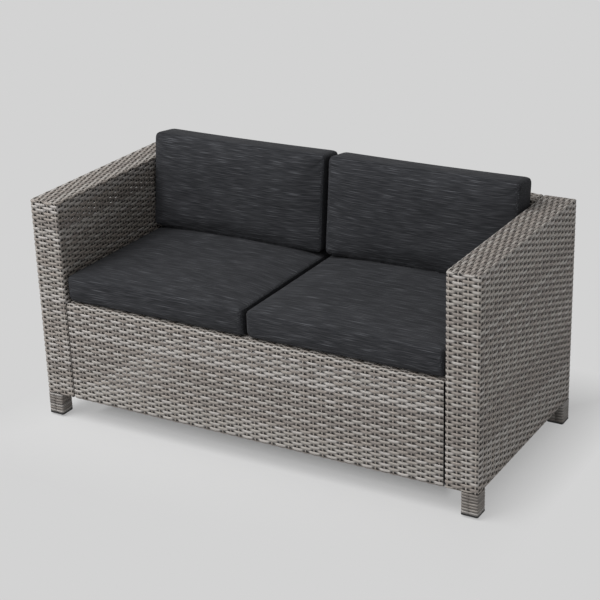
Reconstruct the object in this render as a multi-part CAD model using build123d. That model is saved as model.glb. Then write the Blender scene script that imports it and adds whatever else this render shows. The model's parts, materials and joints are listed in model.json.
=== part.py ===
from build123d import *
import os
from math import cos, radians, sin, tan

# Patio loveseat: two arms, a back and a seat, each a steel tube frame in a woven skin, bolted together
# under the seat, with two seat cushions and two back cushions.
# Millimetres. X runs across it, Y from the front to the back, Z up from the floor.
# The origin is on the floor, at the middle of the width and of the depth.
# Left and right are as seen from the front, so right is towards +X.

# Overall sizes
overall_width = 1310.0
overall_depth = 610.0
panel_top_height = 638.0
panel_bottom_height = 68.0
seat_top_height = 352.0
arm_thickness = 90.0
back_thickness = 60.0
panel_gap = 0.8

# Woven skins, drawn as one sheet with rounded edges
weave_thickness = 3.0
weave_edge_radius = 6.0
skirt_wrap_depth = 26.0

# Steel tubes
leg_size = 40.0
leg_wall = 1.5
rail_size = 20.0
deck_rail_size = 25.0
rail_wall = 1.2
weld_depth = 0.9
tube_corner = 1.6
cross_bar_count = 3
skirt_post_count = 4

# Bolts, their hexagon rivet nuts, and the gaps between strands that they pass
bolt_diameter = 6.0
bolt_hole_diameter = 6.6
bolt_head_size = 10.0
bolt_head_height = 4.0
seat_bolt_length = 45.0
bracket_bolt_length = 20.0
nut_body_size = 9.0
nut_bore_diameter = 6.2
nut_flange_size = 13.0
nut_flange_thickness = 1.0
nut_length = 14.0
strand_gap_size = 16.0
arm_bolt_inset = 110.0
back_bolt_inset = 150.0

# Corner brackets at the foot of the back
bracket_leg = 38.0
bracket_thickness = 4.0
bracket_height = 30.0
bracket_hole_inset = 21.0

# Feet
glide_height = 6.0
glide_diameter = 26.0
glide_side_count = 12
glide_chamfer = 2.0
glide_stem_diameter = 8.0
glide_stem_length = 26.0
glide_seat_gap = 0.3
glide_stem_clearance = 0.08
cap_flange_thickness = 4.0
cap_plug_height = 22.0
cap_plug_clearance = 0.15

# Cushions
cushion_rest_gap = 0.3
cushion_side_gap = 6.5
cushion_corner_radius = 14.0
corner_steps = 4
cushion_gusset_draw = 2.0
cushion_roll = 8.0
cover_thickness = 1.5
foam_inset = 10.0
cover_fit_gap = 0.3
seat_cushion_thickness = 78.0
seat_cushion_crown = 10.0
seat_cushion_crown_reach = 60.0
seat_cushion_rear_reach = 20.0
seat_cushion_front_setback = 3.0
seat_cushion_rear_gap = 0.5
back_cushion_thickness = 88.0
back_cushion_height = 278.0
back_cushion_front_crown = 12.0
back_cushion_rear_crown = 16.0
back_cushion_crown_reach = 60.0
back_cushion_foot_reach = 30.0
back_cushion_rear_gap = 0.5
back_cushion_lean_degrees = 7.0

# Zips, each in a channel of one cushion side
zip_channel_width = 26.0
zip_channel_depth = 6.0
zip_tape_width = 20.0
zip_tape_thickness = 1.0
zip_coil_width = 4.0
zip_coil_height = 0.5
zip_length = 460.0
slider_length = 13.0
slider_width = 9.0
slider_thickness = 2.4
slider_gap = 0.3
slider_nose_share = 0.55
slider_end_inset = 16.0
pull_length = 24.0
pull_width = 7.0
pull_thickness = 1.0
pull_corner = 1.5
pull_eye_size = 3.0

# Shape of a cushion: how far its sides pull in, as a share of half their run, then its rolled edge
# and its crown, as shares of its roll, of its rise and of its reach
side_draw_share = 0.012
roll_shares = ((1.0, 0.0), (0.3, 0.3), (0.0, 1.0))
crown_shares = ((0.6, 0.36), (1.0, 1.0))

# Worked out from the sizes above
half_width = overall_width / 2
half_depth = overall_depth / 2
arm_inner_x = half_width - arm_thickness
back_front_y = half_depth - back_thickness
seat_half_width = arm_inner_x - panel_gap
seat_rear_y = back_front_y - panel_gap
leg_sleeve_size = leg_size + 2 * weave_thickness
leg_x = half_width - leg_sleeve_size / 2
leg_y = half_depth - leg_sleeve_size / 2
cap_top_height = glide_height + cap_flange_thickness
top_rail_z = panel_top_height - weave_thickness - rail_size / 2
bottom_rail_z = panel_bottom_height + weave_thickness + rail_size / 2
frame_top_height = panel_top_height - weave_thickness
frame_bottom_height = panel_bottom_height + weave_thickness
deck_rail_z = seat_top_height - weave_thickness - deck_rail_size / 2
deck_underside_height = seat_top_height - weave_thickness - deck_rail_size
arm_inner_rail_x = arm_inner_x + weave_thickness + rail_size / 2
arm_outer_rail_x = half_width - weave_thickness - rail_size / 2
panel_end_y = half_depth - weave_thickness - rail_size / 2
back_front_rail_y = back_front_y + weave_thickness + rail_size / 2
back_post_x = seat_half_width - weave_thickness - rail_size / 2
front_rail_y = -half_depth + weave_thickness + deck_rail_size / 2
rear_rail_y = seat_rear_y - weave_thickness - deck_rail_size / 2
side_rail_x = seat_half_width - weave_thickness - deck_rail_size / 2
skirt_rail_y = -half_depth + weave_thickness + rail_size / 2
skirt_rear_y = -half_depth + skirt_wrap_depth
post_bottom_z = bottom_rail_z + rail_size / 2
post_top_z = top_rail_z - rail_size / 2
middle_post_spans = (
    (post_bottom_z, deck_rail_z - rail_size / 2),
    (deck_rail_z + rail_size / 2, post_top_z),
)


def save(pieces, name):
    """Write one piece, or a group of like pieces, to its own file."""
    shape = Compound(children=pieces) if isinstance(pieces, list) else pieces
    export_step(shape, "parts/" + name + ".step")


def block(x_range, y_range, z_range):
    """A plain block between two values on each axis."""
    sizes = [high - low for low, high in (x_range, y_range, z_range)]
    middle = [(low + high) / 2 for low, high in (x_range, y_range, z_range)]
    return Pos(*middle) * Box(*sizes)


def tube(axis, low, high, centre, size=rail_size, wall=rail_wall, corner=tube_corner):
    """A square steel tube along X, Y or Z, from low to high, about a centre on the other two axes."""
    outline = Rectangle(size, size)
    if corner > 0:
        outline = chamfer(outline.vertices(), corner)
    section = outline - Rectangle(size - 2 * wall, size - 2 * wall)
    first, second = centre
    if axis == "X":
        place = Plane(origin=(low, first, second), x_dir=(0, 1, 0), z_dir=(1, 0, 0))
    elif axis == "Y":
        place = Plane(origin=(first, low, second), x_dir=(1, 0, 0), z_dir=(0, 1, 0))
    else:
        place = Plane(origin=(first, second, low), x_dir=(1, 0, 0), z_dir=(0, 0, 1))
    return place * extrude(section, high - low)


def hidden_tube(axis, low, high, centre, size=rail_size, wall=rail_wall):
    """A tube that a woven skin closes in, drawn with square corners."""
    return tube(axis, low, high, centre, size, wall, 0)


def welded_tube(axis, low, high, centre):
    """A closed in rail between two others: both its ends melt a little into their walls."""
    return hidden_tube(axis, low - weld_depth, high + weld_depth, centre)


def hollowed(outside, x_range, y_range, z_range, open_sides=""):
    """A woven skin: a block hollowed to one sheet, and open on the named sides."""
    inner = []
    for name, (low, high) in zip("XYZ", (x_range, y_range, z_range)):
        inner_low = low if name + "-" in open_sides else low + weave_thickness
        inner_high = high if name + "+" in open_sides else high - weave_thickness
        inner.append((inner_low, inner_high))
    return outside - block(*inner)


def cut(section, point, direction, reach):
    """The room that a section clears, along a direction, in the last stretch before a point."""
    origin = Vector(*point) - Vector(*direction) * reach
    return Plane(origin=origin, z_dir=direction) * extrude(section, reach)


def mirrored(shape):
    """The same piece on the other side of the loveseat."""
    return mirror(shape, about=Plane.YZ)


def nut_holes(places):
    """Hexagon holes for rivet nuts, through the wall of the rail behind each place."""
    body = extrude(RegularPolygon(nut_body_size / 2, 6, major_radius=False), nut_length)
    return set_at(places, 0, body)


def strand_gaps(places, reach):
    """Square gaps between the strands, where bolts pass through a skin that ends at each place."""
    return [cut(Rectangle(strand_gap_size, strand_gap_size), *place, reach) for place in places]


def arm_frame():
    """The welded frame inside the right arm: two legs, rails at three heights, posts and ties."""
    pieces = []
    inner_face = arm_inner_rail_x + rail_size / 2
    outer_face = arm_outer_rail_x - rail_size / 2
    leg_inner_face = leg_x - leg_size / 2
    end_face = panel_end_y - rail_size / 2
    leg_end_face = leg_y - leg_size / 2
    for y in (-leg_y, leg_y):
        pieces.append(hidden_tube("Z", cap_top_height, frame_top_height, (leg_x, y), leg_size, leg_wall))
    for y in (-panel_end_y, panel_end_y):
        pieces.append(hidden_tube("Z", frame_bottom_height, frame_top_height, (arm_inner_rail_x, y)))
        for z in (bottom_rail_z, deck_rail_z, top_rail_z):
            pieces.append(welded_tube("X", inner_face, leg_inner_face, (y, z)))
    for z in (bottom_rail_z, top_rail_z):
        pieces.append(welded_tube("Y", -leg_end_face, leg_end_face, (arm_outer_rail_x, z)))
        pieces.append(welded_tube("X", inner_face, outer_face, (0, z)))
    for z in (bottom_rail_z, deck_rail_z, top_rail_z):
        pieces.append(welded_tube("Y", -end_face, end_face, (arm_inner_rail_x, z)))
    pieces.append(welded_tube("Z", post_bottom_z, post_top_z, (arm_outer_rail_x, 0)))
    for low, high in middle_post_spans:
        pieces.append(welded_tube("Z", low, high, (arm_inner_rail_x, 0)))
    return pieces[0] + pieces[1:] - nut_holes(right_nut_places)


def arm_weave():
    """The woven skin round the right arm, closed on all sides but for the legs and the bolts."""
    ranges = (
        (arm_inner_x, half_width),
        (-half_depth, half_depth),
        (panel_bottom_height, panel_top_height),
    )
    outside = block(*ranges)
    bottom_edges = outside.faces().sort_by(Axis.Z)[0].edges()
    outside = fillet(outside.edges() - bottom_edges, weave_edge_radius)
    skin = hollowed(outside, *ranges) - strand_gaps(right_nut_places, weave_thickness)
    leg_hole = extrude(Rectangle(leg_size, leg_size), weave_thickness)
    return skin - [Pos(leg_x, y, panel_bottom_height) * leg_hole for y in (-leg_y, leg_y)]


def leg_outline():
    """The outline of a wound leg, with the corners that the strands turn round cut off."""
    return chamfer(Rectangle(leg_sleeve_size, leg_sleeve_size).vertices(), weave_thickness)


def leg_wrap():
    """The strand wound round the foot of a leg, drawn as one sleeve."""
    section = leg_outline() - Rectangle(leg_size, leg_size)
    return Pos(0, 0, cap_top_height) * extrude(section, panel_bottom_height - cap_top_height)


def leg_cap():
    """The plastic end of a leg: a flange under the wound sleeve, and a plug inside the tube."""
    plug_size = leg_size - 2 * leg_wall - 2 * cap_plug_clearance
    plug = extrude(Rectangle(plug_size, plug_size), cap_flange_thickness + cap_plug_height)
    bore = Circle(glide_stem_diameter / 2 + glide_stem_clearance)
    cap = extrude(leg_outline(), cap_flange_thickness) + plug
    cap = cap - extrude(bore, cap_flange_thickness + cap_plug_height)
    return Pos(0, 0, glide_height) * cap


def leg_glide():
    """The levelling foot, with sides to grip, and its stem, which screws up into the cap."""
    foot_height = glide_height - glide_seat_gap
    foot = extrude(RegularPolygon(glide_diameter / 2, glide_side_count), foot_height)
    foot = chamfer(foot.edges().group_by(Axis.Z)[0], glide_chamfer)
    stem = extrude(Circle(glide_stem_diameter / 2), glide_stem_length)
    return foot + Pos(0, 0, foot_height) * stem


def back_frame():
    """The welded frame inside the back: a front and a rear ring, joined by ties, and a seat rail."""
    pieces = []
    post_face = back_post_x - rail_size / 2
    tie_start = back_front_rail_y + rail_size / 2
    tie_end = panel_end_y - rail_size / 2
    for y in (back_front_rail_y, panel_end_y):
        for x in (-back_post_x, back_post_x):
            pieces.append(hidden_tube("Z", frame_bottom_height, frame_top_height, (x, y)))
        for z in (bottom_rail_z, top_rail_z):
            pieces.append(welded_tube("X", -post_face, post_face, (y, z)))
    for z in (bottom_rail_z, top_rail_z):
        for x in (-back_post_x, 0, back_post_x):
            pieces.append(welded_tube("Y", tie_start, tie_end, (x, z)))
    pieces.append(welded_tube("X", -post_face, post_face, (back_front_rail_y, deck_rail_z)))
    for low, high in middle_post_spans:
        pieces.append(welded_tube("Z", low, high, (0, back_front_rail_y)))
    return pieces[0] + pieces[1:] - nut_holes(back_nut_places)


def back_weave():
    """The woven skin round the back, with square ends, as they lie against the arms."""
    ranges = (
        (-seat_half_width, seat_half_width),
        (back_front_y, half_depth),
        (panel_bottom_height, panel_top_height),
    )
    outside = block(*ranges)
    outside = fillet(outside.edges().filter_by(Axis.X).group_by(Axis.Z)[-1], weave_edge_radius)
    return hollowed(outside, *ranges) - strand_gaps(back_nut_places, weave_thickness)


def seat_bolt_holes():
    """Round holes through the rails of the seat for the bolts that hold it."""
    return [cut(Circle(bolt_hole_diameter / 2), *place, seat_bolt_reach) for place in seat_bolt_places]


def seat_tubes():
    """The tubes of the welded seat frame, each under its own name."""
    holes = seat_bolt_holes()
    rail_end = seat_half_width - weave_thickness
    front_face = front_rail_y + deck_rail_size / 2
    rear_face = rear_rail_y - deck_rail_size / 2
    side_rail = tube("Y", front_face, rear_face, (side_rail_x, deck_rail_z), deck_rail_size) - holes
    tubes = {
        "seat_front_rail": tube("X", -rail_end, rail_end, (front_rail_y, deck_rail_z), deck_rail_size),
        "seat_rear_rail": tube("X", -rail_end, rail_end, (rear_rail_y, deck_rail_z), deck_rail_size) - holes,
        "seat_right_rail": side_rail,
        "seat_left_rail": mirrored(side_rail),
    }
    bar_z = seat_top_height - weave_thickness - rail_size / 2
    bar_step = 2 * side_rail_x / (cross_bar_count + 1)
    for index in range(cross_bar_count):
        x = -side_rail_x + bar_step * (index + 1)
        tubes["seat_cross_bar_" + str(index + 1)] = tube("Y", front_face, rear_face, (x, bar_z))
    return tubes


def skirt_tubes():
    """The tubes that hang from the front rail of the seat and carry the skirt."""
    rail_reach = back_post_x - rail_size / 2
    tubes = {"skirt_lower_rail": tube("X", -rail_reach, rail_reach, (skirt_rail_y, bottom_rail_z))}
    post_step = 2 * back_post_x / (skirt_post_count - 1)
    for index in range(skirt_post_count):
        at_end = index in (0, skirt_post_count - 1)
        bottom = frame_bottom_height if at_end else post_bottom_z
        place = (-back_post_x + post_step * index, skirt_rail_y)
        tubes["skirt_post_" + str(index + 1)] = tube("Z", bottom, deck_underside_height, place)
    return tubes


def skirt_weave():
    """The woven skirt: the front face, wrapped round its rails and over the front edge of the seat."""
    ranges = (
        (-seat_half_width, seat_half_width),
        (-half_depth, skirt_rear_y),
        (panel_bottom_height, seat_top_height),
    )
    outside = block(*ranges)
    outside = fillet(outside.edges().filter_by(Axis.X).group_by(Axis.Y)[0], weave_edge_radius)
    return hollowed(outside, *ranges, "Y+")


def deck_weave():
    """The woven seat deck, wrapped down over its side and rear rails."""
    ranges = (
        (-seat_half_width, seat_half_width),
        (skirt_rear_y, seat_rear_y),
        (deck_underside_height, seat_top_height),
    )
    outside = block(*ranges)
    outside = fillet(outside.edges().filter_by(Axis.X).group_by(Axis.Y)[-1].sort_by(Axis.Z)[-1],
                     weave_edge_radius)
    gap_reach = 2 * weave_thickness + panel_gap
    return hollowed(outside, *ranges, "Y-Z-") - strand_gaps(seat_bolt_places, gap_reach)


def corner_bracket():
    """The steel angle that ties the foot of the back to the right arm."""
    outline = Polyline(
        (0, 0),
        (-bracket_leg, 0),
        (-bracket_leg, -bracket_thickness),
        (-bracket_thickness, -bracket_thickness),
        (-bracket_thickness, -bracket_leg),
        (0, -bracket_leg),
        close=True,
    )
    angle = extrude(make_face(outline), bracket_height)
    angle = Pos(arm_inner_x, back_front_y, bottom_rail_z - bracket_height / 2) * angle
    hole = Circle(bolt_hole_diameter / 2)
    return angle - [cut(hole, *place, bracket_bolt_reach) for place in bracket_bolt_places]


def bolt(length):
    """A hexagon head bolt: its head lies under the origin and its shank points up."""
    head = extrude(RegularPolygon(bolt_head_size / 2, 6, major_radius=False), -bolt_head_height)
    return head + extrude(Circle(bolt_diameter / 2), length)


def rivet_nut():
    """A hexagon rivet nut: its flange lies on a rail and its body goes through the wall."""
    flange = RegularPolygon(nut_flange_size / 2, 6, major_radius=False)
    body = RegularPolygon(nut_body_size / 2, 6, major_radius=False)
    nut = extrude(flange, -nut_flange_thickness) + extrude(body, nut_length)
    return nut - extrude(Circle(nut_bore_diameter / 2), nut_length, both=True)


def set_at(places, reach, fastener):
    """One fastener at each place, drawn back along its direction by a reach."""
    result = []
    for point, direction in places:
        origin = Vector(*point) - Vector(*direction) * reach
        result.append(Plane(origin=origin, z_dir=direction) * fastener)
    return result


def cushion_section(width, length, inset, zip_inset):
    """One outline of a cushion: a straight zip side, three sides that pull in, four turned corners."""
    near = width / 2 - inset - cushion_corner_radius
    foot = zip_inset + cushion_corner_radius
    top = length - inset - cushion_corner_radius
    corners = []
    for x, y, start in ((near, foot, -90), (near, top, 0), (-near, top, 90), (-near, foot, 180)):
        turns = [radians(start + 90 * step / corner_steps) for step in range(corner_steps + 1)]
        corners.append([(x + cushion_corner_radius * cos(turn), y + cushion_corner_radius * sin(turn))
                        for turn in turns])
    side_x = near + cushion_corner_radius - side_draw_share * (top - foot) / 2
    right_side = (side_x, (foot + top) / 2)
    far_side = (0, length - inset - side_draw_share * near)
    left_side = (-side_x, (foot + top) / 2)
    points = corners[0] + [right_side] + corners[1] + [far_side] + corners[2] + [left_side] + corners[3]
    return make_face(Polyline(*points, close=True))


def cushion_face(crown, reach, zip_reach):
    """The outlines of one crowned face, from its middle to its seam.

    Each is the depth under the face, the inset on the free sides and the inset on the zip side.
    """
    outlines = []
    if crown > 0:
        for rise_share, reach_share in reversed(crown_shares):
            inset = cushion_roll + reach * reach_share
            zip_inset = cushion_roll + zip_reach * reach_share
            outlines.append((crown * (1 - rise_share), inset, zip_inset))
    for inset_share, depth_share in roll_shares:
        inset = cushion_roll * inset_share
        outlines.append((crown + cushion_roll * depth_share, inset, inset))
    return outlines


def cushion_form(width, length, fall, thickness, low_face, high_face, stack_direction, normal):
    """A cushion lofted through its outlines, which stand a depth apart along one direction.

    A face is its crown, and the reach of that crown on the free sides and on the zip side. The side
    that faces the zip falls by a share of the depth.
    """
    total = low_face[0] + thickness + high_face[0]
    middle = low_face[0] + thickness / 2
    outlines = cushion_face(*low_face)
    for depth in (middle - zip_channel_width / 2, middle + zip_channel_width / 2):
        outlines.append((depth, cushion_gusset_draw, zip_channel_depth))
    for depth, inset, zip_inset in reversed(cushion_face(*high_face)):
        outlines.append((total - depth, inset, zip_inset))
    sections = []
    for depth, inset, zip_inset in outlines:
        place = Plane(origin=Vector(*stack_direction) * depth, x_dir=(1, 0, 0), z_dir=normal)
        sections.append(place * cushion_section(width, length - depth * fall, inset, zip_inset))
    return loft(sections, ruled=True)


def foam_slab(width, length, low, high, stack_direction, normal, gap):
    """A slab of foam with square corners, between two depths in a cushion, less a gap on all sides."""
    inset = foam_inset + gap
    slab = Pos(0, length / 2) * Rectangle(width - 2 * inset, length - 2 * inset)
    place = Plane(origin=Vector(*stack_direction) * (low + gap), x_dir=(1, 0, 0), z_dir=normal)
    return extrude(place * slab, high - low - 2 * gap, dir=stack_direction)


def cushion_pieces(width, length, fall, thickness, faces, stack_direction, normal):
    """A cushion's cover, padded out by its fibre wrap to the crowned form, and the foam in it."""
    low = faces[0][0] + cover_thickness
    high = faces[0][0] + thickness - cover_thickness
    sizes = (width, length - high * fall, low, high)
    form = cushion_form(width, length, fall, thickness, *faces, stack_direction, normal)
    cover = form - foam_slab(*sizes, stack_direction, normal, 0)
    return cover, foam_slab(*sizes, stack_direction, normal, cover_fit_gap)


def zip_strip():
    """The zip: its tape on the floor of the channel, and the coil along the middle."""
    tape = extrude(Rectangle(zip_length, zip_tape_width), zip_tape_thickness)
    coil = extrude(Rectangle(zip_length, zip_coil_width), zip_coil_height)
    return tape + Pos(0, 0, zip_tape_thickness) * coil


def zip_slider():
    """The slider, narrower at its nose, with its flat pull lying along the zip."""
    nose = slider_width * slider_nose_share / 2
    tail = slider_width / 2
    reach = slider_length / 2
    outline = Polyline((-reach, -tail), (reach, -nose), (reach, nose), (-reach, tail), close=True)
    body = extrude(make_face(outline), slider_thickness)
    pull = chamfer(Rectangle(pull_length, pull_width).vertices(), pull_corner)
    pull_reach = (pull_length - pull_width) / 2
    pull = pull - Pos(pull_reach, 0) * Rectangle(pull_eye_size, pull_eye_size)
    pull = Pos(pull_reach, 0, slider_thickness) * extrude(pull, pull_thickness)
    lift = zip_tape_thickness + zip_coil_height + slider_gap
    return Pos(slider_end_inset - zip_length / 2, 0, lift) * (body + pull)


def crown_at(height, foot_reach, length, crown):
    """How far a cushion face stands out beyond its seam, at a height above the foot of the cushion."""
    foot = [(cushion_roll, 0.0)]
    top = [(length - cushion_roll, 0.0)]
    for rise_share, reach_share in crown_shares:
        foot.append((cushion_roll + foot_reach * reach_share, crown * rise_share))
        top.append((length - cushion_roll - back_cushion_crown_reach * reach_share, crown * rise_share))
    points = foot + list(reversed(top))
    for (low, low_rise), (high, high_rise) in zip(points, points[1:]):
        if low <= height <= high:
            return low_rise + (high_rise - low_rise) * (height - low) / (high - low)
    return 0.0


# Bolt places: the face of the rail that holds the rivet nut of each bolt, and the way it points
to_left = (-1, 0, 0)
to_right = (1, 0, 0)
to_back = (0, 1, 0)
arm_face_x = arm_inner_x + weave_thickness
back_face_y = back_front_y + weave_thickness
arm_bolt_rows = (front_rail_y + arm_bolt_inset, rear_rail_y - arm_bolt_inset)
right_seat_places = [((arm_face_x, y, deck_rail_z), to_right) for y in arm_bolt_rows]
left_seat_places = [((-arm_face_x, y, deck_rail_z), to_left) for y in arm_bolt_rows]
back_bolt_x = side_rail_x - back_bolt_inset
back_seat_places = [((x, back_face_y, deck_rail_z), to_back) for x in (-back_bolt_x, back_bolt_x)]
seat_bolt_places = left_seat_places + right_seat_places + back_seat_places
bracket_bolt_places = [
    ((arm_face_x, back_front_y - bracket_hole_inset, bottom_rail_z), to_right),
    ((back_post_x, back_face_y, bottom_rail_z), to_back),
]
left_bracket_places = [
    ((-arm_face_x, back_front_y - bracket_hole_inset, bottom_rail_z), to_left),
    ((-back_post_x, back_face_y, bottom_rail_z), to_back),
]
seat_bolt_reach = deck_rail_size + 2 * weave_thickness + panel_gap
bracket_bolt_reach = weave_thickness + bracket_thickness
right_nut_places = right_seat_places + bracket_bolt_places[:1]
back_nut_places = back_seat_places + bracket_bolt_places[1:] + left_bracket_places[1:]

os.makedirs("parts", exist_ok=True)

# Arms
right_frame = arm_frame()
right_weave = arm_weave()
save(right_frame, "right_arm_frame")
save(mirrored(right_frame), "left_arm_frame")
save(right_weave, "right_arm_weave")
save(mirrored(right_weave), "left_arm_weave")

# Feet
for end_name, end in (("front", -1), ("rear", 1)):
    for side_name, side in (("left", -1), ("right", 1)):
        foot_place = Pos(side * leg_x, end * leg_y, 0)
        foot_name = end_name + "_" + side_name
        save(foot_place * leg_wrap(), foot_name + "_leg_wrap")
        save(foot_place * leg_cap(), foot_name + "_leg_cap")
        save(foot_place * leg_glide(), foot_name + "_glide")

# Back
save(back_frame(), "back_frame")
save(back_weave(), "back_weave")

# Seat and skirt
for tube_name, seat_tube in {**seat_tubes(), **skirt_tubes()}.items():
    save(seat_tube, tube_name)
save(deck_weave(), "deck_weave")
save(skirt_weave(), "skirt_weave")

# Brackets and fasteners
right_bracket = corner_bracket()
save(right_bracket, "right_corner_bracket")
save(mirrored(right_bracket), "left_corner_bracket")
corner_places = bracket_bolt_places + left_bracket_places
save(set_at(seat_bolt_places, seat_bolt_reach, bolt(seat_bolt_length)), "seat_bolts")
save(set_at(corner_places, bracket_bolt_reach, bolt(bracket_bolt_length)), "bracket_bolts")
save(set_at(seat_bolt_places + corner_places, 0, rivet_nut()), "rivet_nuts")

# All the cushions share one width: half of the seat, less a gap on both sides
cushion_width = arm_inner_x - 2 * cushion_side_gap

# Seat cushions: their outlines lie flat, from the rear zip side forwards, and stand on the deck
seat_cushion_rear_y = back_front_y - seat_cushion_rear_gap
seat_length = seat_cushion_rear_y + half_depth - seat_cushion_front_setback
seat_cushion_bottom = seat_top_height + cushion_rest_gap
seat_cushion_top = seat_cushion_bottom + seat_cushion_thickness + seat_cushion_crown
seat_faces = ((0.0, 0.0, 0.0), (seat_cushion_crown, seat_cushion_crown_reach, seat_cushion_rear_reach))
seat_cover, seat_core = cushion_pieces(cushion_width, seat_length, 0, seat_cushion_thickness, seat_faces,
                                       (0, 0, 1), (0, 0, -1))
seat_zip_place = Plane(origin=(0, -zip_channel_depth, seat_cushion_thickness / 2), x_dir=(1, 0, 0),
                       z_dir=(0, 1, 0))

# Back cushions: their outlines lean back, from the zip side at the foot up to a top square to them
lean = radians(back_cushion_lean_degrees)
back_length = back_cushion_height / cos(lean)
back_faces = ((back_cushion_front_crown, back_cushion_crown_reach, back_cushion_foot_reach),
              (back_cushion_rear_crown, back_cushion_crown_reach, back_cushion_foot_reach))
back_cover, back_core = cushion_pieces(cushion_width, back_length, sin(lean), back_cushion_thickness,
                                       back_faces, (0, 1, 0), (0, -cos(lean), sin(lean)))
back_middle = back_cushion_front_crown + back_cushion_thickness / 2
back_zip_origin = (0, back_middle + zip_channel_depth * sin(lean), zip_channel_depth * cos(lean))
back_zip_place = Plane(origin=back_zip_origin, x_dir=(1, 0, 0), z_dir=(0, 0, -1))
back_cushion_bottom = seat_cushion_top + cushion_rest_gap

# The back cushions lean on the back: on its flat front, up to where its top edge turns over
rear_length = back_length - (back_cushion_front_crown + back_cushion_thickness) * sin(lean)
contact_heights = [panel_top_height - weave_edge_radius - back_cushion_bottom,
                   (rear_length - cushion_roll - back_cushion_crown_reach) * cos(lean)]
rear_bulges = []
for height in contact_heights:
    bulge = crown_at(height / cos(lean), back_cushion_foot_reach, rear_length, back_cushion_rear_crown)
    rear_bulges.append(height * tan(lean) + bulge)
back_cushion_rear_y = back_front_y - back_cushion_rear_gap - max(rear_bulges)
back_cushion_origin_y = back_cushion_rear_y - back_cushion_thickness - back_cushion_front_crown

for side_name, side in (("left", -1), ("right", 1)):
    seat_place = Pos(side * arm_inner_x / 2, seat_cushion_rear_y, seat_cushion_bottom)
    back_place = Pos(side * arm_inner_x / 2, back_cushion_origin_y, back_cushion_bottom)
    strip = zip_strip()
    slider = zip_slider() if side < 0 else mirrored(zip_slider())
    for kind, place, cover, core, zip_place in (
        ("seat", seat_place, seat_cover, seat_core, seat_zip_place),
        ("back", back_place, back_cover, back_core, back_zip_place),
    ):
        name = side_name + "_" + kind + "_cushion"
        save(place * cover, name + "_cover")
        save(place * core, name + "_core")
        save(place * (zip_place * strip), name + "_zip")
        save(place * (zip_place * slider), name + "_zip_slider")
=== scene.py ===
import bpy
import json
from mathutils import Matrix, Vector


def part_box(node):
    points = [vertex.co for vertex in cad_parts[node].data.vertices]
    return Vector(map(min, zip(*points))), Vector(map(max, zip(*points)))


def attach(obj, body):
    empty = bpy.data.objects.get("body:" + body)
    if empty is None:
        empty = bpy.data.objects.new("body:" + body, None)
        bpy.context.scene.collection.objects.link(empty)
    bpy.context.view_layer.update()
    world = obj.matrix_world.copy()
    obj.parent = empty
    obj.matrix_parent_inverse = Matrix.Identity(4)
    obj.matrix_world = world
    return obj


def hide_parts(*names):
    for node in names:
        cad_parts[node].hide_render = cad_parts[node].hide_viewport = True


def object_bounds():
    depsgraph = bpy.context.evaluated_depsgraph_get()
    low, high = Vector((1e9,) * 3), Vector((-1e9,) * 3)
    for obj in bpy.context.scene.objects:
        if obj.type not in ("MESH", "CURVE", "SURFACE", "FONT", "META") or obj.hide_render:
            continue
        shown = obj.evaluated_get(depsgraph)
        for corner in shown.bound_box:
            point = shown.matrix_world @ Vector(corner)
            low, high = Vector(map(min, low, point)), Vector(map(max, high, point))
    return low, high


bl_info = {
    "name": "Patio Loveseat",
    "version": (1, 0, 0),
    "blender": (4, 5, 0),
    "location": "View3D > Sidebar > Loveseat",
    "description": "Dresses a woven patio loveseat: strands, wound legs, cushions, zips and finishes",
    "category": "Object",
}

import json
import math
import random

import bmesh
import bpy
import numpy as np
from bpy.props import FloatProperty, FloatVectorProperty, IntProperty, PointerProperty
from bpy.types import Operator, Panel, PropertyGroup
from mathutils import Matrix, Vector
from mathutils.bvhtree import BVHTree

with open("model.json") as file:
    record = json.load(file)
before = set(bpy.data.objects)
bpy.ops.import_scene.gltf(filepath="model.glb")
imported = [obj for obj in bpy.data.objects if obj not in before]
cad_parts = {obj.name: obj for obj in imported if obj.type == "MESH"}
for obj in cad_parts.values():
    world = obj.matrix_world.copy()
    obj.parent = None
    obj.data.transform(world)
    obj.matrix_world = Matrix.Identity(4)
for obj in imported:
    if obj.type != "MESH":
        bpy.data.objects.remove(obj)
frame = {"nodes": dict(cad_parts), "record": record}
CAD_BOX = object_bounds()

SIDES = ("left", "right")
ENDS = ("front", "rear")
MM = 0.001


def linear(code):
    """A colour written as sRGB hex, as the linear values that Blender works with."""
    channels = [int(code[start:start + 2], 16) / 255 for start in (1, 3, 5)]
    return tuple(c / 12.92 if c <= 0.04045 else ((c + 0.055) / 1.055) ** 2.4 for c in channels)


# Settings


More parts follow.
